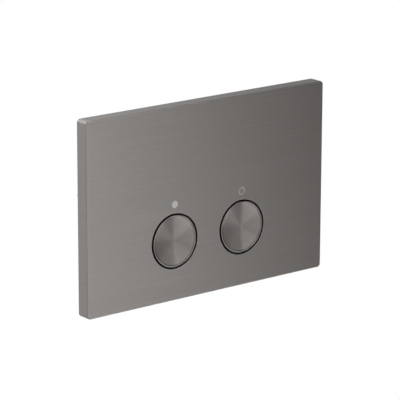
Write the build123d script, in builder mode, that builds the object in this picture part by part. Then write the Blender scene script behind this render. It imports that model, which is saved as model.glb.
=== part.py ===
from build123d import *
import os

# A dual flush button plate: the wall plate that works a cistern hidden in the wall behind it.
# A brushed steel tray covers the wall opening. Two round dished buttons sit in it, each on a
# sprung plunger that slides in a moulded housing and carries an adjustable push rod. The tray
# is bolted to a moulded carrier, which clips to a mounting frame, and two long screws hold
# that frame to the cistern.
#
# Frame: the origin is the middle of the plate's outline, on the wall face. +X runs to the
# right for a person who faces the plate, +Z is up, and the room is on the -Y side.
# A level is a distance in front of the wall face: negative levels lie inside the wall.
# All sizes are in millimetres.

# Cover plate: a pressed steel tray with welded and ground corners
plate_width = 246.0
plate_height = 164.0
plate_depth = 13.0
plate_wall = 1.5
plate_corner = 3.0
plate_edge = 1.0
hole_edge = 0.3
rim_break = 0.2

# Buttons: their place on the plate, and the turned cap with its dished face
button_pitch = 70.4
button_height = 50.8
button_diameter = 44.4
button_gap = 1.3
button_proud = 0.2
button_travel = 6.0
cap_height = 6.5
cap_wall = 1.6
cap_face = 1.6
cap_edge = 0.5
rim_width = 1.3
rim_slope = 0.7
rim_step = 0.25
dish_depth = 0.9
lip_height = 0.5
lip_reach = 0.4

# Clearances
slide_clearance = 0.15
seat_clearance = 0.1
thread_clearance = 0.05
stop_clearance = 0.3
skirt_clearance = 1.0
rib_clearance = 2.0
tip_clearance = 0.5

# Cover carrier: the black moulding bolted to the back of the plate
carrier_thickness = 2.0
skirt_height = 2.5
skirt_wall = 1.6
boss_height = 3.0
waffle_height = 2.0
waffle_rib = 1.2
waffle_pitch = 22.0
collar_wall = 2.2

# Weld studs on the plate, and their nuts
stud_diameter = 3.0
stud_past_nut = 1.1
low_stud_height = 22.0
nut_across_flats = 5.5
nut_thickness = 2.4

# Button housings: a cup with a guide sleeve, held by three screws
housing_wall = 1.6
housing_clearance = 1.0
housing_depth = 8.0
housing_floor = 2.0
flange_thickness = 2.0
flange_width = 2.2
ear_radius = 4.0
ear_reach = 6.2
sleeve_wall = 2.85
sleeve_rear = 6.0
window_width = 6.0
window_inset = 1.8
spoke_width = 12.0
floor_rib = 2.0
floor_rib_height = 4.0
screw_diameter = 2.6
screw_length = 6.0
screw_head_diameter = 5.5
screw_head_height = 1.8
screw_head_edge = 0.6
screw_recess_length = 3.3
screw_recess_width = 0.7
screw_recess_depth = 0.9

# Plungers, return springs, dampers and retaining clips
stem_diameter = 12.0
stem_tail = 4.0
plunger_web = 2.0
plunger_rim = 3.0
key_width = 2.4
key_height = 1.2
wire_diameter = 1.2
spring_radius = 11.2
spring_turns = 5.5
seat_ring_wall = 1.4
seat_ring_height = 1.3
damper_thickness = 1.5
damper_width = 2.6
damper_edge = 0.35
retainer_thickness = 1.0
retainer_width = 2.6
retainer_groove = 1.0
retainer_grip = 3.0
retainer_gap = 58.0

# Push rods and their lock nuts
rod_diameter = 6.0
rod_reach = 46.0
rod_grip = 20.0
rod_chamfer = 0.6
lock_nut_across_flats = 10.0
lock_nut_thickness = 4.0

# Mounting frame: a channel-section ring round the wall opening, inside the plate's outline
frame_margin = 7.0
frame_depth = 8.0
frame_corner = 8.0
frame_base = 2.5
frame_wall = 2.0
frame_rib = 1.6
side_band = 26.0
top_band = 21.0
bottom_band = 13.0
opening_corner = 2.0
lug_reach = 21.0
lug_height = 19.0
lug_corner = 4.0
lug_rib = 1.4
lug_rib_height = 2.5
slot_width = 5.6
slot_length = 11.0

# Snap posts on the carrier, and the spring clips and sockets that grip them
post_margin = 40.0
post_thickness = 2.4
post_width = 9.0
post_grip = 3.0
barb_reach = 0.45
barb_height = 0.9
socket_width = 10.0
socket_wall = 1.5
socket_floor = 1.0
window_length = 6.0
window_height = 4.0
clip_sheet = 0.5
clip_width = 9.2
clip_bend = 0.6
clip_heel = 1.4
clip_flare = 1.8
clip_drop = 0.4

# Rattle pads between the frame and the carrier
pad_length = 16.0
pad_width = 6.0
pad_corner = 0.5
pad_seat_margin = 1.5

# Fixing screws: a fluted head, a relieved neck and a long thread
fixing_margin = 11.0
fixing_diameter = 5.0
fixing_neck = 4.3
fixing_reach = 60.0
fixing_tip = 0.6
fixing_head_diameter = 14.0
fixing_head_height = 4.4
fixing_head_edge = 0.4
fixing_flutes = 12
flute_diameter = 2.0
flute_depth = 0.6
driver_slot_width = 1.2
driver_slot_depth = 1.5
thread_start = 0.3

# Levels of the plate, the carrier and the flange behind it
tray_level = plate_depth - plate_wall
carrier_level = tray_level - carrier_thickness
boss_level = carrier_level - boss_height
flange_level = boss_level - flange_thickness
stud_level = carrier_level - nut_thickness - stud_past_nut

# Radii and levels of the cap
cap_radius = button_diameter / 2
cap_front = plate_depth + button_proud
cap_back = cap_front - cap_height
dish_radius = cap_radius - rim_width - rim_slope
dish_edge = cap_front - rim_step
dish_bottom = dish_edge - dish_depth
pocket_radius = cap_radius - cap_wall
pocket_level = dish_bottom - cap_face
lip_level = cap_back + lip_height
hole_radius = cap_radius + button_gap

# Radii and levels of the housing, the plunger and what hangs on its stem
stem_radius = stem_diameter / 2
rod_radius = rod_diameter / 2
groove_radius = stem_radius - retainer_groove
plunger_radius = pocket_radius - seat_clearance
plunger_level = pocket_level - plunger_web
cup_radius = cap_radius + housing_clearance
cup_outside = cup_radius + housing_wall
floor_level = -housing_depth
cup_back = floor_level - housing_floor
ear_circle = cup_outside + ear_reach
sleeve_radius = stem_radius + slide_clearance
sleeve_outside = sleeve_radius + sleeve_wall
sleeve_front = plunger_level - button_travel - stop_clearance
sleeve_back = cup_back - sleeve_rear
seat_ring_inside = spring_radius + wire_diameter / 2 + stop_clearance
seat_ring_outside = seat_ring_inside + seat_ring_wall
damper_front = sleeve_back - seat_clearance
damper_back = damper_front - damper_thickness
retainer_back = damper_back - retainer_thickness
stem_back = retainer_back - stem_tail

# Outlines of the carrier and the frame, and the middles of the frame's four bands
carrier_width = plate_width - 2 * (plate_wall + skirt_clearance)
carrier_height = plate_height - 2 * (plate_wall + skirt_clearance)
carrier_corner = plate_corner - plate_wall
frame_width = plate_width - 2 * frame_margin
frame_height = plate_height - 2 * frame_margin
opening_width = frame_width - 2 * side_band
opening_height = frame_height - top_band - bottom_band
opening_middle = (bottom_band - top_band) / 2
side_strip = (frame_width - side_band) / 2
top_strip = (frame_height - top_band) / 2
bottom_strip = (bottom_band - frame_height) / 2
pad_thickness = carrier_level - frame_depth

# Rows and columns, from the middle of the plate: the buttons, the lower studs, the snap posts,
# the frame's cross ribs and the fixing screws
button_row = button_height - plate_height / 2
low_stud_row = low_stud_height - plate_height / 2
post_row = frame_height / 2 - post_margin
rib_pitch_across = opening_width / 3
rib_pitch_up = post_row - 2 * socket_wall
fixing_pitch = opening_width - 2 * fixing_margin

# Levels of the snap posts and their clips
socket_height = clip_width + 2 * seat_clearance
post_level = socket_floor + clip_sheet + tip_clearance
waist_level = post_level + post_grip
clip_level = frame_depth - clip_drop

# Places of what comes in twos, fours and sixes
button_centres = {"full_flush": -button_pitch / 2, "half_flush": button_pitch / 2}
button_points = [(x, button_row) for x in button_centres.values()]
corner_signs = {
    "top_left": (-1, 1),
    "top_right": (1, 1),
    "bottom_left": (-1, -1),
    "bottom_right": (1, -1),
}
post_points = {name: (side * side_strip, up * post_row) for name, (side, up) in corner_signs.items()}
pad_points = {
    name: (side * rib_pitch_across, top_strip if up > 0 else bottom_strip)
    for name, (side, up) in corner_signs.items()
}
stud_points = [
    (-side_strip, top_strip),
    (0, top_strip),
    (side_strip, top_strip),
    (-side_strip, low_stud_row),
    (0, bottom_strip),
    (side_strip, low_stud_row),
]
fixing_points = [(-fixing_pitch / 2, 0), (fixing_pitch / 2, 0)]


def level(distance):
    """The plane parallel to the wall at a distance in front of it: its X is +X, its Y is +Z."""
    return Plane.XZ.offset(distance)


def section(x, z):
    """The plane through (x, z) square to the wall and level: its X is +X, its Y is the level."""
    return Plane(origin=(x, 0, z), x_dir=(1, 0, 0), z_dir=(0, 0, -1))


def wall_axis(x, z):
    """The line square to the wall through (x, z)."""
    return Axis((x, 0, z), (0, 1, 0))


def ear_points(x):
    """The three screw places round the button at x, the first straight above it."""
    spots = [Vector(ear_circle, 0).rotate(Axis.Z, angle) for angle in (90, 210, 330)]
    return [(x + spot.X, spot.Y + button_row) for spot in spots]


def draw_ears():
    """Draws the outline of the three screw ears, about the centre of a button."""
    with PolarLocations((cup_outside + ear_circle) / 2, 3, start_angle=90):
        Rectangle(ear_circle - cup_outside, 2 * ear_radius)
    with PolarLocations(ear_circle, 3, start_angle=90):
        Circle(ear_radius)


def save(piece, name):
    """Labels a finished piece and writes it."""
    piece.label = name
    export_step(piece, f"parts/{name}.step")


screw_points = [point for x in button_centres.values() for point in ear_points(x)]

os.makedirs("parts", exist_ok=True)

# Cover plate: the outer block with its front edges rounded, hollowed from the back, then the
# two button holes with their broken edges, and the weld studs.
with BuildPart() as cover_plate:
    with BuildSketch(level(0)):
        RectangleRounded(plate_width, plate_height, plate_corner)
    extrude(amount=plate_depth)
    fillet(cover_plate.faces().sort_by(Axis.Y)[0].edges(), plate_edge)
    with BuildSketch(level(0)):
        RectangleRounded(
            plate_width - 2 * plate_wall,
            plate_height - 2 * plate_wall,
            plate_corner - plate_wall,
        )
    extrude(amount=tray_level, mode=Mode.SUBTRACT)
    chamfer(cover_plate.faces().sort_by(Axis.Y)[-1].edges(), rim_break)
    with BuildSketch(level(tray_level)):
        with Locations(*button_points):
            Circle(hole_radius)
    extrude(amount=plate_wall, mode=Mode.SUBTRACT)
    front = cover_plate.faces().sort_by(Axis.Y)[0]
    fillet([wire.edges() for wire in front.inner_wires()], hole_edge)
    with BuildSketch(level(tray_level)):
        with Locations(*stud_points):
            Circle(stud_diameter / 2)
    extrude(amount=stud_level - tray_level)
save(cover_plate.part, "cover_plate")

# Cover carrier: a flat moulding with a stiffening skirt, a waffle of ribs across the wall
# opening, a collar and three screw bosses round each button, and four barbed posts.
with BuildPart() as cover_carrier:
    with BuildSketch(level(carrier_level)):
        RectangleRounded(carrier_width, carrier_height, carrier_corner)
    extrude(amount=carrier_thickness)
    with BuildSketch(level(carrier_level)):
        RectangleRounded(carrier_width, carrier_height, carrier_corner)
        Rectangle(
            carrier_width - 2 * skirt_wall,
            carrier_height - 2 * skirt_wall,
            mode=Mode.SUBTRACT,
        )
    extrude(amount=-skirt_height)
    with BuildSketch(level(carrier_level)):
        waffle_width = opening_width - 2 * rib_clearance
        waffle_drop = opening_height - 2 * rib_clearance
        columns = 2 * int((waffle_width - waffle_rib) / 2 / waffle_pitch) + 1
        rows = 2 * int((waffle_drop - waffle_rib) / 2 / waffle_pitch) + 1
        with Locations((0, opening_middle)):
            with GridLocations(waffle_pitch, 1, columns, 1):
                Rectangle(waffle_rib, waffle_drop)
            with GridLocations(1, waffle_pitch, 1, rows):
                Rectangle(waffle_width, waffle_rib)
    extrude(amount=-waffle_height)
    with BuildSketch(level(carrier_level)):
        with Locations(*button_points):
            Circle(cup_outside + collar_wall)
            draw_ears()
    extrude(amount=-boss_height)
    with BuildSketch(level(boss_level)):
        with Locations(*button_points):
            Circle(cup_outside + slide_clearance)
    extrude(amount=tray_level - boss_level, mode=Mode.SUBTRACT)
    with BuildSketch(level(boss_level)):
        with Locations(*screw_points):
            Circle(screw_diameter / 2 + thread_clearance)
    extrude(amount=screw_length - flange_thickness + seat_clearance, mode=Mode.SUBTRACT)
    with BuildSketch(level(carrier_level)):
        with Locations(*stud_points):
            Circle(stud_diameter / 2 + seat_clearance)
    extrude(amount=carrier_thickness, mode=Mode.SUBTRACT)
    for place in post_points.values():
        with BuildSketch(section(*place)):
            with BuildLine():
                neck = post_thickness / 2
                barb = neck + barb_reach
                Polyline(
                    (0, carrier_level),
                    (neck, carrier_level),
                    (neck, waist_level - barb_height + barb_reach),
                    (barb, waist_level - barb_height),
                    (barb, waist_level - 2 * barb_height),
                    (barb_reach, post_level),
                    (0, post_level),
                    close=True,
                )
            make_face()
            mirror(about=Plane.YZ)
        extrude(amount=post_width / 2, both=True)
save(cover_carrier.part, "cover_carrier")

# Carrier nuts: six plain hexagon nuts on the weld studs.
with BuildPart() as carrier_nuts:
    with BuildSketch(level(carrier_level)):
        with Locations(*stud_points):
            RegularPolygon(nut_across_flats / 2, 6, major_radius=False)
            Circle(stud_diameter / 2 + thread_clearance, mode=Mode.SUBTRACT)
    extrude(amount=-nut_thickness)
save(carrier_nuts.part, "carrier_nuts")


def make_housing(x, name):
    """One button housing: a cup with a windowed floor, a flange on three ears, a keyed sleeve."""
    here = (x, button_row)
    with BuildPart() as housing:
        with BuildSketch(section(*here)):
            with BuildLine():
                Polyline(
                    (cup_radius, tray_level),
                    (cup_outside, tray_level),
                    (cup_outside, cup_back),
                    (sleeve_outside, cup_back),
                    (sleeve_outside, sleeve_back),
                    (sleeve_radius, sleeve_back),
                    (sleeve_radius, sleeve_front),
                    (sleeve_outside, sleeve_front),
                    (sleeve_outside, floor_level),
                    (seat_ring_inside, floor_level),
                    (seat_ring_inside, floor_level + seat_ring_height),
                    (seat_ring_outside, floor_level + seat_ring_height),
                    (seat_ring_outside, floor_level),
                    (cup_radius, floor_level),
                    close=True,
                )
            make_face()
        revolve(axis=wall_axis(*here))
        with BuildSketch(level(boss_level)):
            with Locations(here):
                Circle(cup_outside + flange_width)
                draw_ears()
                Circle(cup_radius, mode=Mode.SUBTRACT)
            with Locations(*ear_points(x)):
                Circle(screw_diameter / 2 + seat_clearance, mode=Mode.SUBTRACT)
        extrude(amount=-flange_thickness)
        with BuildSketch(level(floor_level)):
            with Locations(here):
                Circle(cup_radius - window_inset)
                Circle(cup_radius - window_inset - window_width, mode=Mode.SUBTRACT)
                with PolarLocations(cup_radius / 2, 3, start_angle=30):
                    Rectangle(cup_radius, spoke_width, mode=Mode.SUBTRACT)
        extrude(amount=-housing_floor, mode=Mode.SUBTRACT)
        with BuildSketch(level(cup_back)):
            with Locations(here):
                with PolarLocations((sleeve_radius + cup_outside) / 2, 3, start_angle=30):
                    Rectangle(cup_outside - sleeve_radius - housing_wall, floor_rib)
        extrude(amount=-floor_rib_height)
        with BuildSketch(level(sleeve_front)):
            with Locations((x, (stem_radius + key_height) / 2 + button_row)):
                Rectangle(
                    key_width + 2 * slide_clearance,
                    stem_radius + key_height + 2 * slide_clearance,
                )
        extrude(amount=sleeve_back - sleeve_front, mode=Mode.SUBTRACT)
    save(housing.part, f"{name}_housing")


def make_button(x, name):
    """One button cap: a turned steel cup with a raised rim, a shallow dish and a snap lip."""
    here = (x, button_row)
    with BuildPart() as button:
        with BuildSketch(section(*here)) as profile:
            with BuildLine():
                TangentArc((0, dish_bottom), (dish_radius, dish_edge), tangent=(1, 0))
                Polyline(
                    (dish_radius, dish_edge),
                    (cap_radius - rim_width, cap_front),
                    (cap_radius, cap_front),
                    (cap_radius, cap_back),
                    (pocket_radius - lip_reach, cap_back),
                    (pocket_radius - lip_reach, cap_back + lip_height / 2),
                    (pocket_radius, lip_level),
                    (pocket_radius, pocket_level),
                    (0, pocket_level),
                    (0, dish_bottom),
                )
            make_face()
            fillet(profile.vertices().group_by(Axis.Y)[-1], cap_edge)
        revolve(axis=wall_axis(*here))
    save(button.part, f"{name}_button")


def make_plunger(x, name):
    """One plunger: a disc that snaps into the cap, on a keyed and bored stem with a clip groove."""
    here = (x, button_row)
    with BuildPart() as plunger:
        with BuildSketch(section(*here)):
            with BuildLine():
                Polyline(
                    (0, pocket_level),
                    (plunger_radius, pocket_level),
                    (plunger_radius, lip_level + seat_clearance),
                    (plunger_radius - plunger_rim, lip_level + seat_clearance),
                    (plunger_radius - plunger_rim, plunger_level),
                    (seat_ring_outside, plunger_level),
                    (seat_ring_outside, plunger_level - seat_ring_height),
                    (seat_ring_inside, plunger_level - seat_ring_height),
                    (seat_ring_inside, plunger_level),
                    (stem_radius, plunger_level),
                    (stem_radius, damper_back),
                    (groove_radius, damper_back),
                    (groove_radius, retainer_back),
                    (stem_radius, retainer_back),
                    (stem_radius, stem_back),
                    (0, stem_back),
                    close=True,
                )
            make_face()
        revolve(axis=wall_axis(*here))
        with BuildSketch(level(plunger_level)):
            with Locations((x, (stem_radius + key_height) / 2 + button_row)):
                Rectangle(key_width, stem_radius + key_height)
        extrude(amount=sleeve_back + stop_clearance - plunger_level)
        with BuildSketch(level(stem_back)):
            with Locations(here):
                Circle(rod_radius + thread_clearance)
        extrude(amount=rod_grip + seat_clearance, mode=Mode.SUBTRACT)
    save(plunger.part, f"{name}_plunger")


def make_spring(x, name):
    """One return spring, wound between the housing's floor and the plunger's disc.

    The wire is drawn with six flats inside its round section.
    """
    low = floor_level + wire_diameter / 2 + thread_clearance
    high = plunger_level - wire_diameter / 2 - thread_clearance
    with BuildPart() as spring:
        with BuildLine() as coil:
            Helix(
                pitch=(high - low) / spring_turns,
                height=high - low,
                radius=spring_radius,
                center=(x, -low, button_row),
                direction=(0, -1, 0),
            )
        with BuildSketch(Plane(origin=coil.line @ 0, z_dir=coil.line % 0)):
            RegularPolygon(wire_diameter / 2, 6)
        sweep(path=coil.line, is_frenet=True)
    save(spring.part, f"{name}_spring")


def make_damper(x, name):
    """One rubber damper ring, which quiets the return of the plunger against the sleeve."""
    with BuildPart() as damper:
        with BuildSketch(level(damper_front)):
            with Locations((x, button_row)):
                Circle(stem_radius + damper_width)
                Circle(stem_radius + thread_clearance, mode=Mode.SUBTRACT)
        extrude(amount=-damper_thickness)
        outer_edges = damper.edges().filter_by(GeomType.CIRCLE).sort_by(SortBy.RADIUS)[-2:]
        fillet(outer_edges, damper_edge)
    save(damper.part, f"{name}_damper")


def make_retainer(x, name):
    """One retaining clip: a flat spring steel ring, open at the bottom, with three inner grips."""
    with BuildPart() as retainer:
        with BuildSketch(level(damper_back)):
            with Locations((x, button_row)):
                Circle(stem_radius + retainer_width)
                Circle(stem_radius + seat_clearance, mode=Mode.SUBTRACT)
                with PolarLocations(stem_radius, 3, start_angle=-30):
                    Rectangle(2 * retainer_groove, retainer_grip)
                Circle(groove_radius + thread_clearance, mode=Mode.SUBTRACT)
                with BuildLine():
                    reach = 2 * (stem_radius + retainer_width)
                    left = PolarLine((x, button_row), reach, angle=270 - retainer_gap / 2)
                    right = PolarLine((x, button_row), reach, angle=270 + retainer_gap / 2)
                    Line(left @ 1, right @ 1)
            make_face(mode=Mode.SUBTRACT)
        extrude(amount=-retainer_thickness)
    save(retainer.part, f"{name}_retaining_clip")


def make_rod(x, name):
    """One push rod, screwed into the plunger's stem from behind."""
    with BuildPart() as rod:
        with BuildSketch(level(-rod_reach)):
            with Locations((x, button_row)):
                Circle(rod_radius)
        extrude(amount=rod_reach + stem_back + rod_grip)
        chamfer(rod.faces().sort_by(Axis.Y)[-1].edges(), rod_chamfer)
    save(rod.part, f"{name}_push_rod")


def make_lock_nut(x, name):
    """One lock nut, which holds the push rod's length against the end of the stem."""
    with BuildPart() as lock_nut:
        with BuildSketch(level(stem_back)):
            with Locations((x, button_row)):
                RegularPolygon(lock_nut_across_flats / 2, 6, major_radius=False)
                Circle(rod_radius + thread_clearance, mode=Mode.SUBTRACT)
        extrude(amount=-lock_nut_thickness)
    save(lock_nut.part, f"{name}_lock_nut")


for unit_name, unit_x in button_centres.items():
    make_housing(unit_x, unit_name)
    make_button(unit_x, unit_name)
    make_plunger(unit_x, unit_name)
    make_spring(unit_x, unit_name)
    make_damper(unit_x, unit_name)
    make_retainer(unit_x, unit_name)
    make_rod(unit_x, unit_name)
    make_lock_nut(unit_x, unit_name)

# Housing screws: three cross-recessed pan heads to each housing, driven into the bosses.
with BuildPart() as housing_screws:
    with BuildSketch(level(flange_level)):
        with Locations(*screw_points):
            Circle(screw_diameter / 2)
    extrude(amount=screw_length)
    with BuildSketch(level(flange_level)):
        with Locations(*screw_points):
            Circle(screw_head_diameter / 2)
    extrude(amount=-screw_head_height)
    fillet(housing_screws.faces().group_by(Axis.Y)[-1].edges(), screw_head_edge)
    with BuildSketch(level(flange_level - screw_head_height)):
        with Locations(*screw_points):
            Rectangle(screw_recess_length, screw_recess_width)
            Rectangle(screw_recess_width, screw_recess_length)
    extrude(amount=screw_recess_depth, mode=Mode.SUBTRACT)
save(housing_screws.part, "housing_screws")

# Mounting frame: a ring whose channel is open to the front, with cross ribs, clip sockets and
# pad seats standing in the channel, and a slotted lug on each side for the fixing screws.
with BuildPart() as mounting_frame:
    with BuildSketch(level(0)):
        RectangleRounded(frame_width, frame_height, frame_corner)
        with Locations((0, opening_middle)):
            RectangleRounded(opening_width, opening_height, opening_corner, mode=Mode.SUBTRACT)
    extrude(amount=frame_base)
    with BuildSketch(level(frame_base)):
        RectangleRounded(frame_width, frame_height, frame_corner)
        RectangleRounded(
            frame_width - 2 * frame_wall,
            frame_height - 2 * frame_wall,
            frame_corner - frame_wall,
            mode=Mode.SUBTRACT,
        )
        with Locations((0, opening_middle)):
            RectangleRounded(
                opening_width + 2 * frame_wall,
                opening_height + 2 * frame_wall,
                opening_corner + frame_wall,
            )
        with GridLocations(rib_pitch_across, 1, 4, 1):
            Rectangle(frame_rib, frame_height - frame_wall)
        with GridLocations(1, rib_pitch_up, 1, 4):
            Rectangle(frame_width - frame_wall, frame_rib)
        with Locations(*post_points.values()):
            Rectangle(socket_width + 2 * socket_wall, socket_height + 2 * socket_wall)
            Rectangle(socket_width, socket_height, mode=Mode.SUBTRACT)
        with Locations(*pad_points.values()):
            Rectangle(pad_length + 2 * pad_seat_margin, pad_width + pad_seat_margin)
        with Locations((0, opening_middle)):
            RectangleRounded(opening_width, opening_height, opening_corner, mode=Mode.SUBTRACT)
    extrude(amount=frame_depth - frame_base)
    with BuildSketch(level(socket_floor)):
        with Locations(*post_points.values()):
            Rectangle(socket_width, socket_height)
    extrude(amount=frame_base - socket_floor, mode=Mode.SUBTRACT)
    with BuildSketch(level(0)):
        with Locations(*post_points.values()):
            Rectangle(window_length, window_height)
    extrude(amount=socket_floor, mode=Mode.SUBTRACT)
    for side in (-1, 1):
        lug_middle = side * (opening_width / 2 - lug_reach / 2)
        with BuildSketch(level(0)):
            with Locations((lug_middle, 0)):
                RectangleRounded(lug_reach, lug_height, lug_corner)
            with Locations((side * (opening_width - lug_corner) / 2, 0)):
                Rectangle(lug_corner + frame_wall, lug_height)
        extrude(amount=frame_base)
        with BuildSketch(level(frame_base)):
            with Locations((lug_middle + side * lug_corner / 2, 0)):
                with GridLocations(1, lug_height - lug_rib, 1, 2):
                    Rectangle(lug_reach - lug_corner, lug_rib)
        extrude(amount=lug_rib_height)
    with BuildSketch(level(0)):
        with Locations(*fixing_points):
            SlotOverall(slot_length, slot_width, rotation=90)
    extrude(amount=frame_base, mode=Mode.SUBTRACT)
save(mounting_frame.part, "mounting_frame")


def make_clip(place, name):
    """One frame clip: a strip of spring steel bent to a pinched U that grips a snap post."""
    heel = socket_width / 2 - seat_clearance
    waist = post_thickness / 2 + thread_clearance + clip_sheet
    with BuildPart() as clip:
        with BuildSketch(section(*place)):
            with BuildLine():
                FilletPolyline(
                    (-waist - clip_flare, clip_level),
                    (-waist, waist_level),
                    (-heel, socket_floor + clip_heel),
                    (-heel, socket_floor),
                    (heel, socket_floor),
                    (heel, socket_floor + clip_heel),
                    (waist, waist_level),
                    (waist + clip_flare, clip_level),
                    radius=clip_bend,
                )
                offset(amount=clip_sheet, side=Side.LEFT)
            make_face()
        extrude(amount=clip_width / 2, both=True)
    save(clip.part, f"{name}_frame_clip")


def make_pad(place, name):
    """One rattle pad: a strip of soft foam rubber between the frame and the carrier."""
    with BuildPart() as pad:
        with BuildSketch(level(frame_depth)):
            with Locations(place):
                RectangleRounded(pad_length, pad_width, pad_corner)
        extrude(amount=pad_thickness)
    save(pad.part, f"{name}_rattle_pad")


for corner_name, corner_place in post_points.items():
    make_clip(corner_place, corner_name)
for corner_name, corner_place in pad_points.items():
    make_pad(corner_place, corner_name)

# Fixing screws: one through each lug, with a slotted and fluted head that is turned by hand.
with BuildPart() as fixing_screws:
    with BuildSketch(level(frame_base)):
        with Locations(*fixing_points):
            Circle(fixing_head_diameter / 2)
            with PolarLocations(
                (fixing_head_diameter + flute_diameter) / 2 - flute_depth, fixing_flutes
            ):
                Circle(flute_diameter / 2, mode=Mode.SUBTRACT)
    extrude(amount=fixing_head_height)
    chamfer(fixing_screws.faces().group_by(Axis.Y)[0].edges(), fixing_head_edge)
    with BuildSketch(level(frame_base + fixing_head_height)):
        with Locations(*fixing_points):
            Rectangle(fixing_head_diameter, driver_slot_width)
    extrude(amount=-driver_slot_depth, mode=Mode.SUBTRACT)
    with BuildSketch(level(frame_base)):
        with Locations(*fixing_points):
            Circle(fixing_neck / 2)
    extrude(amount=-frame_base - thread_start)
    with BuildSketch(level(-thread_start)):
        with Locations(*fixing_points):
            Circle(fixing_diameter / 2)
    extrude(amount=thread_start - fixing_reach)
    chamfer(fixing_screws.faces().group_by(Axis.Y)[-1].edges(), fixing_tip)
save(fixing_screws.part, "fixing_screws")
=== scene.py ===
import bmesh
import bpy
import numpy as np
from mathutils import Matrix, Vector


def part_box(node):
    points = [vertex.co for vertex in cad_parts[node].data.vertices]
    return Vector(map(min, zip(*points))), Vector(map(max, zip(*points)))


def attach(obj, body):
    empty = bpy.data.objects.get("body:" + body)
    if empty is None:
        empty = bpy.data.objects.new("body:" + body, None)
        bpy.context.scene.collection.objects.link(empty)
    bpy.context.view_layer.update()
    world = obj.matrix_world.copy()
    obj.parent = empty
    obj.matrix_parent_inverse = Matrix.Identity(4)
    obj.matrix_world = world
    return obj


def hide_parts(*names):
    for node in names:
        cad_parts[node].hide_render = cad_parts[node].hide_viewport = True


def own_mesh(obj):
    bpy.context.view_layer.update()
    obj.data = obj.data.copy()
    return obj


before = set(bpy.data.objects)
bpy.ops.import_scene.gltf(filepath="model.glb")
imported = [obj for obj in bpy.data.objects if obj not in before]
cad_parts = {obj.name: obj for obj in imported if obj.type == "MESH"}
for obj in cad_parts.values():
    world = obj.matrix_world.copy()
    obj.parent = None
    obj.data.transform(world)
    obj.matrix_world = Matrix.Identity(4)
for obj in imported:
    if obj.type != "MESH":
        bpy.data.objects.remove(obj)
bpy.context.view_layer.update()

# Floor: a round sheet of matt white board, a metre under the plate. The camera sees it as
# white, and it still takes the shadow of what hangs over it.
floor_level = -1.0
floor_radius = 0.7
floor_rings, floor_sides = 24, 96
floor_glow = 0.45


def linear(code):
    """Gives the linear colour, with an alpha of 1, of an sRGB hex code."""
    parts = np.array([int(code[place:place + 2], 16) for place in (1, 3, 5)]) / 255
    parts = np.where(parts <= 0.04045, parts / 12.92, ((parts + 0.055) / 1.055) ** 2.4)
    return (float(parts[0]), float(parts[1]), float(parts[2]), 1.0)


def add(tree, kind, inputs=None, **settings):
    """Adds a node with its settings, and sets or links each input that is named."""
    node = tree.nodes.new("ShaderNode" + kind)
    for name, value in settings.items():
        setattr(node, name, value)
    for name, value in (inputs or {}).items():
        if isinstance(value, bpy.types.NodeSocket):
            tree.links.new(value, node.inputs[name])
        else:
            node.inputs[name].default_value = value
    return node


def new_material(name):
    """Starts a material with an empty tree, and gives back both."""
    material = bpy.data.materials.new(name)
    material.use_nodes = True
    material.node_tree.nodes.clear()
    return material, material.node_tree


def new_mesh(name, grids, sharp=35, same_place=1e-7, no_length=1e-8):
    """Joins grids of points, in metres, into one smooth mesh object.

    A grid is (points, ring_rows, ring_columns): points is an array of rows by columns by
    three. Each square of four neighbours is a face, the last row or column joins the first
    where it is a ring, and points that meet at a pole are merged. A shell whose enclosed
    volume, a sixth of the sum of triple products, comes out negative is turned round. An
    edge that bends by more than sharp, in degrees, stays a hard one.
    """
    vertices, faces, start = [], [], 0
    for points, ring_rows, ring_columns in grids:
        rows, columns = points.shape[:2]
        row, column = np.meshgrid(
            np.arange(rows if ring_rows else rows - 1),
            np.arange(columns if ring_columns else columns - 1),
            indexing="ij",
        )
        below, beside = (row + 1) % rows, (column + 1) % columns
        squares = np.stack(
            [row * columns + column, row * columns + beside,
             below * columns + beside, below * columns + column], axis=-1,
        ).reshape(-1, 4)
        flat = points.reshape(-1, 3)
        a, b, c, d = (flat[squares[:, k]] for k in range(4))
        volume = (a * (np.cross(b, c) + np.cross(c, d))).sum()
        faces.append((squares if volume > 0 else squares[:, ::-1]) + start)
        vertices.append(flat)
        start += len(flat)
    vertices, faces = np.concatenate(vertices), np.concatenate(faces)
    mesh = bpy.data.meshes.new(name)
    mesh.vertices.add(len(vertices))
    mesh.vertices.foreach_set("co", vertices.astype(np.float32).ravel())
    mesh.loops.add(faces.size)
    mesh.loops.foreach_set("vertex_index", faces.astype(np.int32).ravel())
    mesh.polygons.add(len(faces))
    mesh.polygons.foreach_set("loop_start", np.arange(0, faces.size, 4, dtype=np.int32))
    mesh.update(calc_edges=True)
    merged = bmesh.new()
    merged.from_mesh(mesh)
    bmesh.ops.remove_doubles(merged, verts=merged.verts, dist=same_place)
    bmesh.ops.dissolve_degenerate(merged, edges=merged.edges, dist=no_length)
    merged.to_mesh(mesh)
    merged.free()
    mesh.validate()
    mesh.shade_smooth()
    mesh.set_sharp_from_angle(angle=np.radians(sharp))
    piece = bpy.data.objects.new(name, mesh)
    bpy.context.scene.collection.objects.link(piece)
    return piece


around = np.linspace(0, 2 * np.pi, floor_sides, endpoint=False)
reach = np.linspace(0, floor_radius, floor_rings)[:, None]
level = np.full((floor_rings, floor_sides), floor_level)
floor_points = np.stack([reach * np.cos(around), reach * np.sin(around), level], axis=-1)
floor = new_mesh("floor", [(floor_points, False, True)])
white_board, tree = new_material("matt_white_board")
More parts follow.
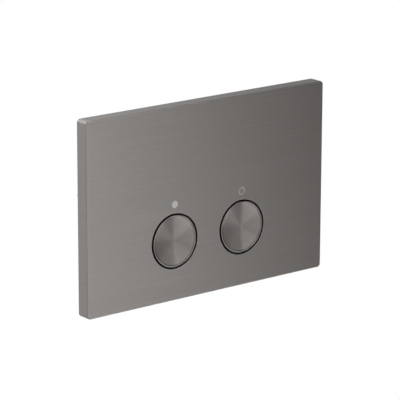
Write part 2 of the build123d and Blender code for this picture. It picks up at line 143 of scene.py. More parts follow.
# The camera, mirrors and glass alone see its glow, so it lights nothing.
light_path = add(tree, "LightPath")
seen = light_path.outputs["Is Camera Ray"]
for ray in ("Is Glossy Ray", "Is Transmission Ray"):
    seen = add(tree, "Math", {0: seen, 1: light_path.outputs[ray]}, operation="MAXIMUM").outputs[0]
lift = add(tree, "Math", {0: seen, 1: floor_glow}, operation="MULTIPLY")
paint = add(tree, "BsdfDiffuse", {"Color": linear("#e8e8e8")})
glow = add(tree, "Emission", {"Color": linear("#ffffff"), "Strength": lift.outputs[0]})
both = add(tree, "AddShader", {0: paint.outputs[0], 1: glow.outputs[0]})
add(tree, "OutputMaterial", {"Surface": both.outputs[0]})
floor.data.materials.append(white_board)

# Room: plain white to the camera. Round the object it is a dim studio with soft boxes. Each
# is placed by two angles, in degrees: left of and above the direction in which the front of
# the plate mirrors the camera. Then come its radius in degrees and its brightness.
soft_boxes = [
    # The plate's face mirrors the first four, which make its left end lighter than its right.
    (10, -10, 13, 2.4),
    (10, 10, 14, 2.4),
    (20, -30, 14, 3),
    (0, -28, 13, 2.2),
    # The two dishes fan these out into the light wedges of the turned caps.
    (-12, -40, 14, 10),
    (0, 60, 13, 12),
    (12, 48, 13, 3.8),
    (-50, 30, 15, 12),
    (-45, -20, 14, 14),
    (60, 60, 14, 9),
    (60, 36, 15, 5),
    (60, 0, 16, 3),
    # A wide one lights the back. The next four light the left side and its rounding.
    (-142, -6, 85, 0.8),
    (52, -10, 38, 1.1),
    (86, -15, 38, 1.2),
    (122, -22, 38, 1.2),
    (180, -30, 35, 0.4),
    # One lights the left end of the top, and the last puts highlights on the pieces behind.
    (-41, 61, 26, 0.5),
    (-125, 5, 22, 3),
]
studio_level = 0.06
mirrored = Vector((0.595, -0.760, -0.262)).normalized()
leftward = Vector((-0.787, -0.617, 0.0)).normalized()
upward = leftward.cross(mirrored).normalized()
world = bpy.data.worlds.new("studio_with_soft_boxes")
bpy.context.scene.world = world
world.use_nodes = True
tree = world.node_tree
tree.nodes.clear()
direction = add(tree, "TexCoord").outputs["Generated"]
brightness = studio_level
for left, above, radius, strength in soft_boxes:
    left, above, radius = np.radians((left, above, radius))
    level_aim = np.cos(left) * mirrored + np.sin(left) * leftward
    aim = np.cos(above) * level_aim + np.sin(above) * upward
    aligned = add(tree, "VectorMath", {0: direction, 1: aim}, operation="DOT_PRODUCT")
    glow = add(tree, "MapRange", {
        "Value": aligned.outputs["Value"], "From Min": np.cos(radius), "From Max": 1.0,
        "To Min": 0.0, "To Max": strength,
    }, interpolation_type="SMOOTHSTEP")
    brightness = add(tree, "Math", {0: glow.outputs["Result"], 1: brightness}, operation="ADD").outputs[0]
to_camera = add(tree, "LightPath").outputs["Is Camera Ray"]
shown = add(tree, "Mix", {0: to_camera, 2: brightness, 3: 1.0}, data_type="FLOAT")
room = add(tree, "Background", {"Color": linear("#ffffff"), "Strength": shown.outputs[0]})
add(tree, "OutputWorld", {"Surface": room.outputs[0]})

# Lamps: two wide soft boxes, both high on the left, one in front and a stronger one behind,
# so that the hidden side is lit as well.
lamp_size = 1.4
lamps = (
    ("front_soft_box", (-1.6, -1.9, 1.9), 14.0),
    ("rear_soft_box", (-1.2, 2.2, 1.6), 20.0),
)


def aimed(place, target, up):
    """Gives the matrix of a lamp or camera at a place that looks at a target, its top to up."""
    back = (place - target).normalized()
    side = up.cross(back).normalized()
    turned = Matrix((side, back.cross(side), back)).transposed().to_4x4()
    turned.translation = place
    return turned


for name, place, power in lamps:
    lamp = bpy.data.lights.new(name, "AREA")
    lamp.size = lamp_size
    lamp.energy = power
    holder = bpy.data.objects.new(name, lamp)
    bpy.context.scene.collection.objects.link(holder)
    holder.matrix_world = aimed(Vector(place), Vector((0, 0, 0)), Vector((0, 0, 1)))

# Camera: two metres away, to the left and above, with a long lens, as the plate is photographed.
# A slight roll follows the photograph's own.
camera_place = Vector((-1.23261, -1.57341, 0.54289))
camera_aim = Vector((-0.00908, -0.013, -0.00053))
camera_up = Vector((0.1608, 0.2098, 0.9644))
lens = bpy.data.cameras.new("camera")
lens.lens = 225
lens.sensor_width = 36
lens.clip_start = 0.01
lens.clip_end = 50
camera = bpy.data.objects.new("camera", lens)
bpy.context.scene.collection.objects.link(camera)
camera.matrix_world = aimed(camera_place, camera_aim, camera_up)
bpy.context.scene.camera = camera
bpy.context.scene.view_settings.view_transform = "Standard"

# Cover plate: a tray of 1.5 mm stainless steel with welded and ground corners, brushed along
# its length and then coated a dark warm grey, which the fine grooves turn into soft streaks.
mm = 0.001
plate_front = 13.0
hole_radius, hole_edge = 23.5, 0.3
button_pitch = 70.4
button_row = -31.2
brushed_steel, tree = new_material("brushed_stainless_steel_dark_coating")
place = add(tree, "TexCoord").outputs["Object"]
# A spot is on a side where it points left or right, within about 45 degrees.
facing = add(tree, "NewGeometry").outputs["Normal"]
on_side = add(tree, "VectorMath", {0: facing, 1: (1, 0, 0)}, operation="DOT_PRODUCT")
on_side = add(tree, "Math", {0: on_side.outputs["Value"]}, operation="ABSOLUTE")
on_side = add(tree, "Math", {0: on_side.outputs[0], 1: 0.7}, operation="GREATER_THAN")
# Real brush lines are 0.05 mm apart. These are drawn 0.4 mm and 1.2 mm apart, so that they
# show, and 60 mm and 110 mm long. On the left and right sides they run towards the wall.
streaks = []
for length, spacing, roughness in ((60.0, 0.4, 0.7), (110.0, 1.2, 0.5)):
    along, across = 1 / (length * mm), 1 / (spacing * mm)
    level_lines = add(tree, "Mapping", {"Vector": place, "Scale": (along, across, across)})
    depth_lines = add(tree, "Mapping", {"Vector": place, "Scale": (across, along, across)})
    chosen = add(tree, "Mix", {
        0: on_side.outputs[0], 4: level_lines.outputs[0], 5: depth_lines.outputs[0],
    }, data_type="VECTOR")
    noise = add(tree, "TexNoise", {
        "Vector": chosen.outputs[1], "Scale": 1.0, "Detail": 3.0, "Roughness": roughness,
    })
    streaks.append(noise.outputs["Fac"])
streak = add(tree, "Mix", {0: 0.5, 2: streaks[0], 3: streaks[1]}, data_type="FLOAT")
tint = add(tree, "ValToRGB", {"Fac": streak.outputs[0]})
tint.color_ramp.elements[0].position = 0.36
tint.color_ramp.elements[0].color = linear("#787572")
tint.color_ramp.elements[1].position = 0.64
tint.color_ramp.elements[1].color = linear("#807b79")
# The walls of the button holes, with most of their broken edge, are painted near black, as
# painted shade in the gap round each cap. The two holes mirror each other, so one measure from
# the middle serves both.
hole_centre = (button_pitch / 2 * mm, 0, button_row * mm)
hole_shade_radius = (hole_radius + 0.85 * hole_edge) * mm
hole_shade_level = -(plate_front - 0.1 * hole_edge) * mm
split = add(tree, "SeparateXYZ", {0: place})
sideways = add(tree, "Math", {0: split.outputs["X"]}, operation="ABSOLUTE")
flat = add(tree, "CombineXYZ", {"X": sideways.outputs[0], "Z": split.outputs["Z"]})
spread = add(tree, "VectorMath", {0: flat.outputs[0], 1: hole_centre}, operation="DISTANCE")
at_hole = add(tree, "Math", {0: spread.outputs["Value"], 1: hole_shade_radius}, operation="LESS_THAN")
below = add(tree, "Math", {0: split.outputs["Y"], 1: hole_shade_level}, operation="GREATER_THAN")
painted_hole_shade = add(tree, "Math", {0: at_hole.outputs[0], 1: below.outputs[0]}, operation="MULTIPLY")
# Painted shade: near black over the hole walls and their broken edge.
coat_with_painted_shade = add(tree, "Mix", {
    0: painted_hole_shade.outputs[0], 6: tint.outputs[0], 7: linear("#1a1816"),
}, data_type="RGBA")
gloss = add(tree, "MapRange", {
    "Value": streak.outputs[0], "From Min": 0.3, "From Max": 0.7, "To Min": 0.32, "To Max": 0.36,
})
groove = add(tree, "Bump", {"Strength": 0.04, "Distance": 0.02 * mm, "Height": streaks[0]})
across_brush = add(tree, "CombineXYZ", {"X": 0.0, "Y": 0.02, "Z": 1.0})
steel = add(tree, "BsdfPrincipled", {
    "Base Color": coat_with_painted_shade.outputs[2], "Metallic": 1.0, "Roughness": gloss.outputs[0],
    "Anisotropic": 0.95, "Normal": groove.outputs[0], "Tangent": across_brush.outputs[0],
})
add(tree, "OutputMaterial", {"Surface": steel.outputs[0]})


def dress(names, material):
    """Gives carried-over solids their finish."""
    for name in names:
        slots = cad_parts[name].data.materials
        slots.clear()
        slots.append(material)


dress(["cover_plate"], brushed_steel)

# Marks on the plate: a dot over the full flush button and a ring over the half flush one,
# printed in pale grey ink a few hundredths of a millimetre thick.
print_thickness, print_root, print_edge = 0.03, 0.01, 0.015
dot_radius, dot_slope = 3.1, 0.05
ring_inside, ring_outside, ring_slope = 2.6, 3.15, 0.03


def revolve(profile, middle, count=128):
    """Turns a profile of (radius, level) pairs, in mm, about a line square to the wall.

    The line passes through middle, (x, z). A point is (x + r cos t, -level, z + r sin t) for
    every turn t.
    """
    profile = np.asarray(profile, float)
    turn = np.linspace(0, 2 * np.pi, count, endpoint=False)
    radius, height = profile[:, :1], profile[:, 1:]
    return mm * np.stack(
        [middle[0] + radius * np.cos(turn), -height + 0 * turn, middle[1] + radius * np.sin(turn)],
        axis=-1,
    )


ink, tree = new_material("pad_printed_pale_ink")
place = add(tree, "TexCoord").outputs["Object"]
# The specks of the ink are 0.29 mm apart.
grain = add(tree, "TexNoise", {"Vector": place, "Scale": 3.5 / mm, "Detail": 2.0})
tint = add(tree, "ValToRGB", {"Fac": grain.outputs["Fac"]})
tint.color_ramp.elements[0].color = linear("#80807e")
tint.color_ramp.elements[1].color = linear("#8c8c8a")
print_layer = add(tree, "BsdfPrincipled", {"Base Color": tint.outputs[0], "Roughness": 0.55})
add(tree, "OutputMaterial", {"Surface": print_layer.outputs[0]})
top = plate_front + print_thickness
root = plate_front - print_root
dot_profile = [
    (0, top), (dot_radius - dot_slope, top), (dot_radius, top - print_edge), (dot_radius, root), (0, root),
]
ring_profile = [
    (ring_inside, root), (ring_inside, top - print_edge), (ring_inside + ring_slope, top),
    (ring_outside - ring_slope, top), (ring_outside, top - print_edge), (ring_outside, root),
]
dot_surface = revolve(dot_profile, (-button_pitch / 2, 0), 64)
ring_surface = revolve(ring_profile, (button_pitch / 2, 0), 64)
dot = new_mesh("full_flush_mark", [(dot_surface, False, True)])
ring = new_mesh("half_flush_mark", [(ring_surface, True, True)])
for mark in (dot, ring):
    mark.data.materials.append(ink)
    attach(mark, "plate_assembly")

# Cover carrier and housings: injection moulded black ABS, with a spark-eroded grain that
# scatters the light. The carrier is bolted to the plate, and screws hold the housings to it.
black_abs, tree = new_material("moulded_black_abs")
place = add(tree, "TexCoord").outputs["Object"]
# The real grain is about 0.1 mm across. It is drawn 0.36 mm across, so that it shows. The
# shine varies over patches of 22 mm.
grain = add(tree, "TexNoise", {"Vector": place, "Scale": 2.8 / mm, "Detail": 3.0, "Roughness": 0.6})
cloud = add(tree, "TexNoise", {"Vector": place, "Scale": 0.045 / mm, "Detail": 2.0})
tint = add(tree, "ValToRGB", {"Fac": cloud.outputs["Fac"]})
tint.color_ramp.elements[0].position = 0.35
tint.color_ramp.elements[0].color = linear("#14110f")
tint.color_ramp.elements[1].position = 0.65
tint.color_ramp.elements[1].color = linear("#1b1816")
gloss = add(tree, "MapRange", {
    "Value": cloud.outputs["Fac"], "From Min": 0.3, "From Max": 0.7, "To Min": 0.46, "To Max": 0.6,
})
texture = add(tree, "Bump", {"Strength": 0.25, "Distance": 0.08 * mm, "Height": grain.outputs["Fac"]})
plastic = add(tree, "BsdfPrincipled", {
    "Base Color": tint.outputs[0], "Roughness": gloss.outputs[0], "Specular IOR Level": 0.3,
    "Normal": texture.outputs[0],
})
add(tree, "OutputMaterial", {"Surface": plastic.outputs[0]})
dress(["cover_carrier", "full_flush_housing", "half_flush_housing"], black_abs)

# Carrier nuts and housing screws: bright zinc-plated steel. The passivation leaves a faint
# blue and straw bloom, and the bright metal takes small sharp highlights.
zinc, tree = new_material("bright_zinc_plated_steel")
place = add(tree, "TexCoord").outputs["Object"]
# The bloom varies over 3.8 mm and the fine scuffs of handling over 0.67 mm.
bloom = add(tree, "TexNoise", {"Vector": place, "Scale": 0.26 / mm, "Detail": 2.0})
scuff = add(tree, "TexNoise", {"Vector": place, "Scale": 1.5 / mm, "Detail": 3.0})
tint = add(tree, "ValToRGB", {"Fac": bloom.outputs["Fac"]})
tint.color_ramp.elements[0].position = 0.3
tint.color_ramp.elements[0].color = linear("#b9bec6")
tint.color_ramp.elements[1].position = 0.7
tint.color_ramp.elements[1].color = linear("#cbc8bd")
gloss = add(tree, "MapRange", {
    "Value": scuff.outputs["Fac"], "From Min": 0.3, "From Max": 0.7, "To Min": 0.22, "To Max": 0.36,
})
metal = add(tree, "BsdfPrincipled", {
    "Base Color": tint.outputs[0], "Metallic": 1.0, "Roughness": gloss.outputs[0],
})
add(tree, "OutputMaterial", {"Surface": metal.outputs[0]})
dress(["carrier_nuts", "housing_screws"], zinc)

# Return springs: music wire wound with a closed turn at each end, set between the floor of
# the housing and the plunger. The drawn wire is a smooth grey metal with faint stains.
button_centres = {"full_flush": -button_pitch / 2, "half_flush": button_pitch / 2}
spring_radius = 11.2
wire_radius = 0.6
spring_front = 8.45
spring_back = -8.0
open_turns = 5.5


def wind(middle, per_turn=56, count=14, blend=9):
    """Winds round wire into a spring: a closed turn, the open turns, and a closed turn.

    The wire's middle line is (R cos t, y(t), R sin t). Its rise is one wire thickness in
    each closed turn and even between them, eased over blend steps on each side of a change.
    Each ring of the surface lies in the plane of the outward direction and the direction
    square to it and to the wire.
    """
    turn = 2 * np.pi * np.linspace(0, open_turns + 2, int(per_turn * (open_turns + 2)))
    closed = 2 * wire_radius
    ends = (spring_back + wire_radius, spring_front - wire_radius)
    height = np.interp(
        turn / (2 * np.pi), [0, 1, 1 + open_turns, 2 + open_turns],
        [ends[0], ends[0] + closed, ends[1] - closed, ends[1]],
    )
    window = np.hanning(2 * blend + 1)
    height[blend:-blend] = np.convolve(height, window / window.sum(), mode="valid")
    line = np.stack([spring_radius * np.cos(turn), -height, spring_radius * np.sin(turn)], axis=-1)
    along = np.gradient(line, axis=0)
    along /= np.linalg.norm(along, axis=1)[:, None]
    outward = np.stack([np.cos(turn), 0 * turn, np.sin(turn)], axis=-1)
    square = np.cross(along, outward)
    swing = np.linspace(0, 2 * np.pi, count, endpoint=False)[None, :, None]
    thickness = np.full((len(turn), 1, 1), wire_radius)
    thickness[[0, -1]] = 0
    centre = line[:, None] + 0 * swing
    centre[[0, -1]] = line[[1, -2], None]
    ring = np.cos(swing) * outward[:, None] + np.sin(swing) * square[:, None]
    return mm * (centre + thickness * ring + np.array([middle[0], 0, middle[1]]))


spring_wire, tree = new_material("drawn_music_wire")
place = add(tree, "TexCoord").outputs["Object"]
# The stains are 2.4 mm across.
stain = add(tree, "TexNoise", {"Vector": place, "Scale": 0.42 / mm, "Detail": 3.0})
tint = add(tree, "ValToRGB", {"Fac": stain.outputs["Fac"]})
tint.color_ramp.elements[0].position = 0.3
tint.color_ramp.elements[0].color = linear("#85827e")
tint.color_ramp.elements[1].position = 0.7
tint.color_ramp.elements[1].color = linear("#a3a09b")
gloss = add(tree, "MapRange", {
    "Value": stain.outputs["Fac"], "From Min": 0.3, "From Max": 0.7, "To Min": 0.24, "To Max": 0.4,
})
metal = add(tree, "BsdfPrincipled", {
    "Base Color": tint.outputs[0], "Metallic": 1.0, "Roughness": gloss.outputs[0],
})
add(tree, "OutputMaterial", {"Surface": metal.outputs[0]})
for unit, x in button_centres.items():
    coil = new_mesh(f"{unit}_coil", [(wind((x, button_row)), False, True)])
    coil.data.materials.append(spring_wire)
    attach(coil, "plate_assembly")
    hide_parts(f"{unit}_spring")
    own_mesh(coil)

# Mounting frame: injection moulded dark grey polypropylene, with a greasier shine than the
# carrier's. It lies against the wall round the opening, and the carrier snaps onto it.
grey_pp, tree = new_material("moulded_dark_grey_polypropylene")
place = add(tree, "TexCoord").outputs["Object"]
# The real grain is about 0.1 mm across. It is drawn 0.5 mm across, so that it shows. The
# flow marks are 33 mm wide.
grain = add(tree, "TexNoise", {"Vector": place, "Scale": 2.0 / mm, "Detail": 3.0, "Roughness": 0.6})
flow = add(tree, "TexNoise", {"Vector": place, "Scale": 0.03 / mm, "Detail": 3.0, "Distortion": 1.2})
tint = add(tree, "ValToRGB", {"Fac": flow.outputs["Fac"]})
tint.color_ramp.elements[0].position = 0.35
tint.color_ramp.elements[0].color = linear("#2c2c2d")
tint.color_ramp.elements[1].position = 0.65
tint.color_ramp.elements[1].color = linear("#373738")
gloss = add(tree, "MapRange", {
    "Value": flow.outputs["Fac"], "From Min": 0.3, "From Max": 0.7, "To Min": 0.36, "To Max": 0.5,
})
texture = add(tree, "Bump", {"Strength": 0.2, "Distance": 0.1 * mm, "Height": grain.outputs["Fac"]})
plastic = add(tree, "BsdfPrincipled", {
    "Base Color": tint.outputs[0], "Roughness": gloss.outputs[0], "Normal": texture.outputs[0],
})
add(tree, "OutputMaterial", {"Surface": plastic.outputs[0]})
dress(["mounting_frame"], grey_pp)

# Frame clips and retaining clips: punched and bent from spring steel strip, blued slightly by
# the heat treatment, with the rolling lines of the strip.
corners = ("top_left", "top_right", "bottom_left", "bottom_right")
strip_steel, tree = new_material("tempered_spring_steel_strip")
place = add(tree, "TexCoord").outputs["Object"]
# Real rolling lines are a few hundredths of a millimetre apart. These are drawn 0.4 mm apart
# and 6.7 mm long, so that they show.
rolled = add(tree, "Mapping", {"Vector": place, "Scale": (2.5 / mm, 2.5 / mm, 0.15 / mm)})
lines = add(tree, "TexNoise", {"Vector": rolled.outputs[0], "Scale": 1.0, "Detail": 2.0})
tint = add(tree, "ValToRGB", {"Fac": lines.outputs["Fac"]})
tint.color_ramp.elements[0].position = 0.3
tint.color_ramp.elements[0].color = linear("#7f838a")
tint.color_ramp.elements[1].position = 0.7
tint.color_ramp.elements[1].color = linear("#9b9890")
gloss = add(tree, "MapRange", {
    "Value": lines.outputs["Fac"], "From Min": 0.3, "From Max": 0.7, "To Min": 0.25, "To Max": 0.4,
})
metal = add(tree, "BsdfPrincipled", {
    "Base Color": tint.outputs[0], "Metallic": 1.0, "Roughness": gloss.outputs[0],
})
add(tree, "OutputMaterial", {"Surface": metal.outputs[0]})
dress([f"{corner}_frame_clip" for corner in corners], strip_steel)
dress([f"{unit}_retaining_clip" for unit in button_centres], strip_steel)

# Rattle pads: strips cut from black closed cell foam rubber, stuck to the frame and pressed
# flat by the carrier, so that their sides swell a little.
pad_length, pad_width, pad_back, pad_front = 16.0, 6.0, 8.0, 9.5
foam, tree = new_material("closed_cell_foam_rubber")
place = add(tree, "TexCoord").outputs["Object"]
# The cells are 0.38 mm across.
cells = add(tree, "TexVoronoi", {"Vector": place, "Scale": 2.6 / mm})
pits = add(tree, "Bump", {"Strength": 0.5, "Distance": 0.1 * mm, "Height": cells.outputs["Distance"]})
tint = add(tree, "ValToRGB", {"Fac": cells.outputs["Distance"]})
tint.color_ramp.elements[0].color = linear("#121212")
tint.color_ramp.elements[1].color = linear("#242424")
rubber = add(tree, "BsdfPrincipled", {
    "Base Color": tint.outputs[0], "Roughness": 0.9, "Normal": pits.outputs[0],
})
add(tree, "OutputMaterial", {"Surface": rubber.outputs[0]})


def squared(value, power):
    """Pushes a sine or cosine towards its ends: sgn v |v|^n, which makes a circle squarer."""
    return np.sign(value) * np.abs(value) ** power


def pressed_strip(middle, power=0.22, swell=0.12, count=96, layers=25):
    """Shapes one pressed strip as a flattened superellipsoid.

    Across the strip a ring is (sgn c |c|^n, sgn s |s|^n) of its half length and half width,
    scaled by cos(v)^n with a slight swell at half thickness, and its depth runs as sin(v)^n.
    """
    turn = np.linspace(0, 2 * np.pi, count, endpoint=False)[None]
    rise = np.linspace(-np.pi / 2, np.pi / 2, layers)[:, None]
    size = np.abs(np.cos(rise)) ** power * (1 - swell / 3 + swell / 3 * np.cos(rise) ** 2)
    x = pad_length / 2 * size * squared(np.cos(turn), power)
    z = pad_width / 2 * size * squared(np.sin(turn), power)
    half_thickness = (pad_front - pad_back) / 2
    depth = (pad_front + pad_back) / 2 + half_thickness * squared(np.sin(rise), power) + 0 * turn
    return mm * np.stack([middle[0] + x, -depth, middle[1] + z], axis=-1)


for corner in corners:
    low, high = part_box(f"{corner}_rattle_pad")
    middle = ((low.x + high.x) / 2 / mm, (low.z + high.z) / 2 / mm)
    pad = new_mesh(f"{corner}_foam_strip", [(pressed_strip(middle), False, True)], sharp=80)
    pad.data.materials.append(foam)
    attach(pad, "plate_assembly")
    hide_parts(f"{corner}_rattle_pad")

# Fixing screws: zinc-plated steel, with a fluted and slotted head that the fingers turn, and
# a rolled M5 thread of 0.8 mm pitch that is cut to suit the wall. The heads are the solids'.
fixing_places = ((-79.0, 0.0), (79.0, 0.0))
screw_radius, screw_depth, screw_pitch, screw_taper = 2.5, 0.42, 0.8, 0.6
screw_start, screw_end, head_overlap = 0.3, 60.0, 0.1


def thread(middle, radius, depth, pitch, front, back, taper, count=40, per_pitch=10, flat=0.125):
    """Makes a threaded shank between two levels, closed at both ends.

    The radius falls from the crest by depth times a triangle wave of (y / pitch - t / 2 pi),
    cut to a flat at crest and root, and narrows by the taper over the first and last pitch.
    """
    steps = int((front - back) / pitch * per_pitch)
    height = np.linspace(front, back, steps)[:, None]
    turn = np.linspace(0, 2 * np.pi, count, endpoint=False)[None]
    phase = (height / pitch - turn / (2 * np.pi)) % 1
    wave = np.clip(np.abs(2 * phase - 1) * (1 + 2 * flat) - flat, 0, 1)
    near_back = np.clip(1 - (height - back) / pitch, 0, 1)
    near_front = np.clip(1 - (front - height) / pitch, 0, 1)
    size = np.minimum(radius - depth * wave, radius - taper * (near_back + near_front))
    size = np.concatenate([np.zeros((1, count)), size, np.zeros((1, count))])
    height = np.concatenate([height[:1], height, height[-1:]])
    return mm * np.stack(
        [middle[0] + size * np.cos(turn), -height + 0 * turn, middle[1] + size * np.sin(turn)],
        axis=-1,
    )


shanks = []
for place in fixing_places:
    shank = thread(place, screw_radius, screw_depth, screw_pitch, -screw_start, -screw_end, screw_taper)
    shanks.append((shank, False, True))
screw = new_mesh("fixing_screw_shanks", shanks, sharp=60)
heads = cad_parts["fixing_screws"].data.copy()
cut_level = (screw_start + head_overlap) * mm
trimmed = bmesh.new()
trimmed.from_mesh(heads)
behind = [face for face in trimmed.faces if max(corner.co.y for corner in face.verts) > cut_level]
bmesh.ops.delete(trimmed, geom=behind, context="FACES")
bmesh.ops.remove_doubles(trimmed, verts=trimmed.verts, dist=1e-6)
trimmed.to_mesh(heads)
trimmed.free()
heads.shade_smooth()
heads.set_sharp_from_angle(angle=np.radians(30))
head = bpy.data.objects.new("fixing_screw_heads", heads)
bpy.context.scene.collection.objects.link(head)
for piece in (screw, head):
    piece.data.materials.clear()
    piece.data.materials.append(zinc)
    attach(piece, "plate_assembly")
    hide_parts("fixing_screws")

# Button caps: turned from stainless steel, coated like the plate. The dished face keeps the
# tool's rings, which fan the light out into soft wedges, and the narrow rim is rounded.
cap_front, cap_back, cap_radius = 13.2, 6.7, 22.2
dish_radius, dish_edge = 20.2, 12.95
bowl_depth, cone_slope, cone_tip = 0.9, 0.022, 1.2
rim_inside, rim_round, cap_edge = 20.9, 0.5, 0.1
lip_radius, lip_corner, lip_level = 20.2, 6.95, 7.2
pocket_radius, pocket_level = 20.6, 10.45
slope_radius, slope_reach = (dish_radius + rim_inside) / 2 * mm, 0.3 * mm
skirt_radius = (cap_radius - 0.7 * rim_round) * mm
turned_steel = {}
for unit, x in button_centres.items():
    material, tree = new_material(f"turned_stainless_steel_{unit}")
    place = add(tree, "TexCoord").outputs["Object"]
    centred = add(tree, "Mapping", {"Vector": place, "Location": (-x * mm, 0, -button_row * mm)})
    flat = add(tree, "VectorMath", {0: centred.outputs[0], 1: (1, 0, 1)}, operation="MULTIPLY")
    radius = add(tree, "VectorMath", {0: flat.outputs[0]}, operation="LENGTH").outputs["Value"]
    # The feed of the tool is 0.1 mm a turn. The rings are drawn about 0.4 mm and 1.2 mm apart.
    fine_count = add(tree, "Math", {0: radius, 1: 2.5 / mm}, operation="MULTIPLY")
    fine = add(tree, "TexNoise", {
        "W": fine_count.outputs[0], "Scale": 1.0, "Detail": 3.0, "Roughness": 0.6,
    }, noise_dimensions="1D")
    broad_count = add(tree, "Math", {0: radius, 1: 0.85 / mm}, operation="MULTIPLY")
    broad = add(tree, "TexNoise", {
        "W": broad_count.outputs[0], "Scale": 1.0, "Detail": 1.0,
    }, noise_dimensions="1D")
    rings = add(tree, "Mix", {0: 0.5, 2: fine.outputs["Fac"], 3: broad.outputs["Fac"]}, data_type="FLOAT")
    tint = add(tree, "ValToRGB", {"Fac": rings.outputs[0]})
    tint.color_ramp.elements[0].position = 0.36
    tint.color_ramp.elements[0].color = linear("#787471")
    tint.color_ramp.elements[1].position = 0.64
    tint.color_ramp.elements[1].color = linear("#807b79")
    groove = add(tree, "Bump", {"Strength": 0.04, "Distance": 0.02 * mm, "Height": fine.outputs["Fac"]})
    # The slope between the dish and the rim is painted darker: painted shade, so that it reads as a dark
    # line without its highlight.
    at_slope = add(tree, "Math", {0: radius, 1: slope_radius, 2: slope_reach}, operation="COMPARE")
    slope_shade_tint = add(tree, "Mix", {
        0: at_slope.outputs[0], 6: tint.outputs[0], 7: linear("#5c5855"),
    }, data_type="RGBA")
    # The skirt of the cap is painted near black, with most of its rounding: painted shade in the gap, as
    # on the walls of the holes.
    painted_skirt_shade = add(tree, "Math", {0: radius, 1: skirt_radius}, operation="GREATER_THAN")
    coat_with_painted_shade = add(tree, "Mix", {
        0: painted_skirt_shade.outputs[0], 6: slope_shade_tint.outputs[2], 7: linear("#1a1816"),
    }, data_type="RGBA")
    outward = add(tree, "VectorMath", {0: flat.outputs[0]}, operation="NORMALIZE")
    outward = add(tree, "VectorMath", {0: outward.outputs[0], 1: (0, 0.02, 0)}, operation="ADD")
    steel = add(tree, "BsdfPrincipled", {
        "Base Color": coat_with_painted_shade.outputs[2], "Metallic": 1.0, "Roughness": 0.31, "Anisotropic": 0.88,
        "Normal": groove.outputs[0], "Tangent": outward.outputs[0],
    })
    add(tree, "OutputMaterial", {"Surface": steel.outputs[0]})
    turned_steel[unit] = material


def rounded(points, steps=8):
    """Rounds the corners of a profile: each point is (radius, level, rounding).

    A corner becomes an arc of the radius rounding that touches both of its sides. Its points
    are the two ends, as seen from its centre, mixed by the sines of what is left of the
    sweep and of what is done.
    """
    line = []
    for k, (x, y, rounding) in enumerate(points):
        here = np.array([x, y], float)
        if rounding == 0:
            line.append(here)
            continue
        before = np.array(points[k - 1][:2], float) - here
        after = np.array(points[(k + 1) % len(points)][:2], float) - here
        before /= np.linalg.norm(before)
        after /= np.linalg.norm(after)
        half = np.arccos(np.clip(before @ after, -1, 1)) / 2
        middle = here + (before + after) / np.linalg.norm(before + after) * rounding / np.sin(half)
        start = here + before * rounding / np.tan(half) - middle
        end = here + after * rounding / np.tan(half) - middle
        sweep = np.pi - 2 * half
        share = np.linspace(0, 1, steps)[:, None]
        mixed = np.sin((1 - share) * sweep) * start + np.sin(share * sweep) * end
        line.extend(middle + mixed / np.sin(sweep))
    return line


# The dish is a shallow bowl plus a slight cone, (r^2 + t^2)^0.5 - t, that the tool leaves.
reach = np.linspace(0, dish_radius, 60)
bowl = bowl_depth * ((reach / dish_radius) ** 2 - 1)
cone = cone_slope * (np.sqrt(reach ** 2 + cone_tip ** 2) - np.sqrt(dish_radius ** 2 + cone_tip ** 2))
dished = np.stack([reach, dish_edge + bowl + cone], axis=-1)
shell = rounded([
    (dish_radius, dish_edge, 0), (rim_inside, cap_front, rim_round), (cap_radius, cap_front, rim_round),
    (cap_radius, cap_back, cap_edge), (lip_radius, cap_back, cap_edge), (lip_radius, lip_corner, 0),
    (pocket_radius, lip_level, 0), (pocket_radius, pocket_level, 0), (0, pocket_level, 0),
])
profile = np.concatenate([dished[:-1], np.array(shell)])
for unit, x in button_centres.items():
    cap = new_mesh(f"{unit}_cap", [(revolve(profile, (x, button_row), 192), False, True)])
    cap.data.materials.append(turned_steel[unit])
    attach(cap, unit)
    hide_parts(f"{unit}_button")

# Plungers and lock nuts: injection moulded white acetal, smooth and waxy. The plunger snaps
# into the cap, and the nut locks the push rod in the plunger's stem.
acetal, tree = new_material("moulded_white_acetal")
place = add(tree, "TexCoord").outputs["Object"]
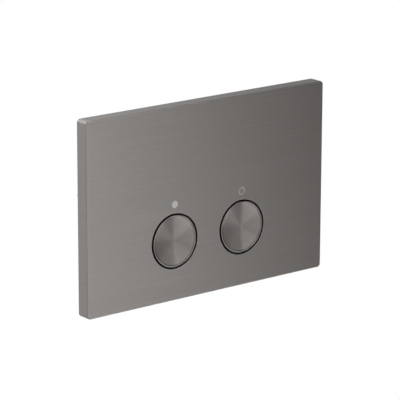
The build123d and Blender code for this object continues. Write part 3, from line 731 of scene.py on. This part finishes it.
# The flow marks are 11 mm wide.
flow = add(tree, "TexNoise", {"Vector": place, "Scale": 0.09 / mm, "Detail": 2.0})
tint = add(tree, "ValToRGB", {"Fac": flow.outputs["Fac"]})
tint.color_ramp.elements[0].position = 0.3
tint.color_ramp.elements[0].color = linear("#e3e0d8")
tint.color_ramp.elements[1].position = 0.7
tint.color_ramp.elements[1].color = linear("#ece9e2")
gloss = add(tree, "MapRange", {
    "Value": flow.outputs["Fac"], "From Min": 0.3, "From Max": 0.7, "To Min": 0.3, "To Max": 0.4,
})
plastic = add(tree, "BsdfPrincipled", {
    "Base Color": tint.outputs[0], "Roughness": gloss.outputs[0], "IOR": 1.48,
})
add(tree, "OutputMaterial", {"Surface": plastic.outputs[0]})
dress([f"{unit}_plunger" for unit in button_centres], acetal)
dress([f"{unit}_lock_nut" for unit in button_centres], acetal)

# Dampers: rings moulded from soft black rubber, matt with a faint bloom. Each lies round the
# plunger's stem, between the guide sleeve and the clip, and quiets the button's return.
damper_rubber, tree = new_material("soft_black_rubber")
place = add(tree, "TexCoord").outputs["Object"]
# The specks of the bloom are 1.7 mm across.
bloom = add(tree, "TexNoise", {"Vector": place, "Scale": 0.6 / mm, "Detail": 3.0})
tint = add(tree, "ValToRGB", {"Fac": bloom.outputs["Fac"]})
tint.color_ramp.elements[0].position = 0.3
tint.color_ramp.elements[0].color = linear("#151515")
tint.color_ramp.elements[1].position = 0.7
tint.color_ramp.elements[1].color = linear("#222221")
rubber = add(tree, "BsdfPrincipled", {"Base Color": tint.outputs[0], "Roughness": 0.7})
add(tree, "OutputMaterial", {"Surface": rubber.outputs[0]})
dress([f"{unit}_damper" for unit in button_centres], damper_rubber)

# Push rods: acetal rods with a coarse moulded thread of 1 mm pitch from end to end, so that
# they can be set to the depth of the wall. Each is screwed into its plunger's stem.
rod_radius, rod_depth, rod_pitch, rod_taper = 3.0, 0.5, 1.0, 0.6
rod_start, rod_end = 2.6, 46.0
for unit, x in button_centres.items():
    surface = thread(
        (x, button_row), rod_radius, rod_depth, rod_pitch, -rod_start, -rod_end, rod_taper, count=48,
    )
    rod = new_mesh(f"{unit}_threaded_rod", [(surface, False, True)], sharp=60)
    rod.data.materials.append(acetal)
    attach(rod, unit)
    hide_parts(f"{unit}_push_rod")
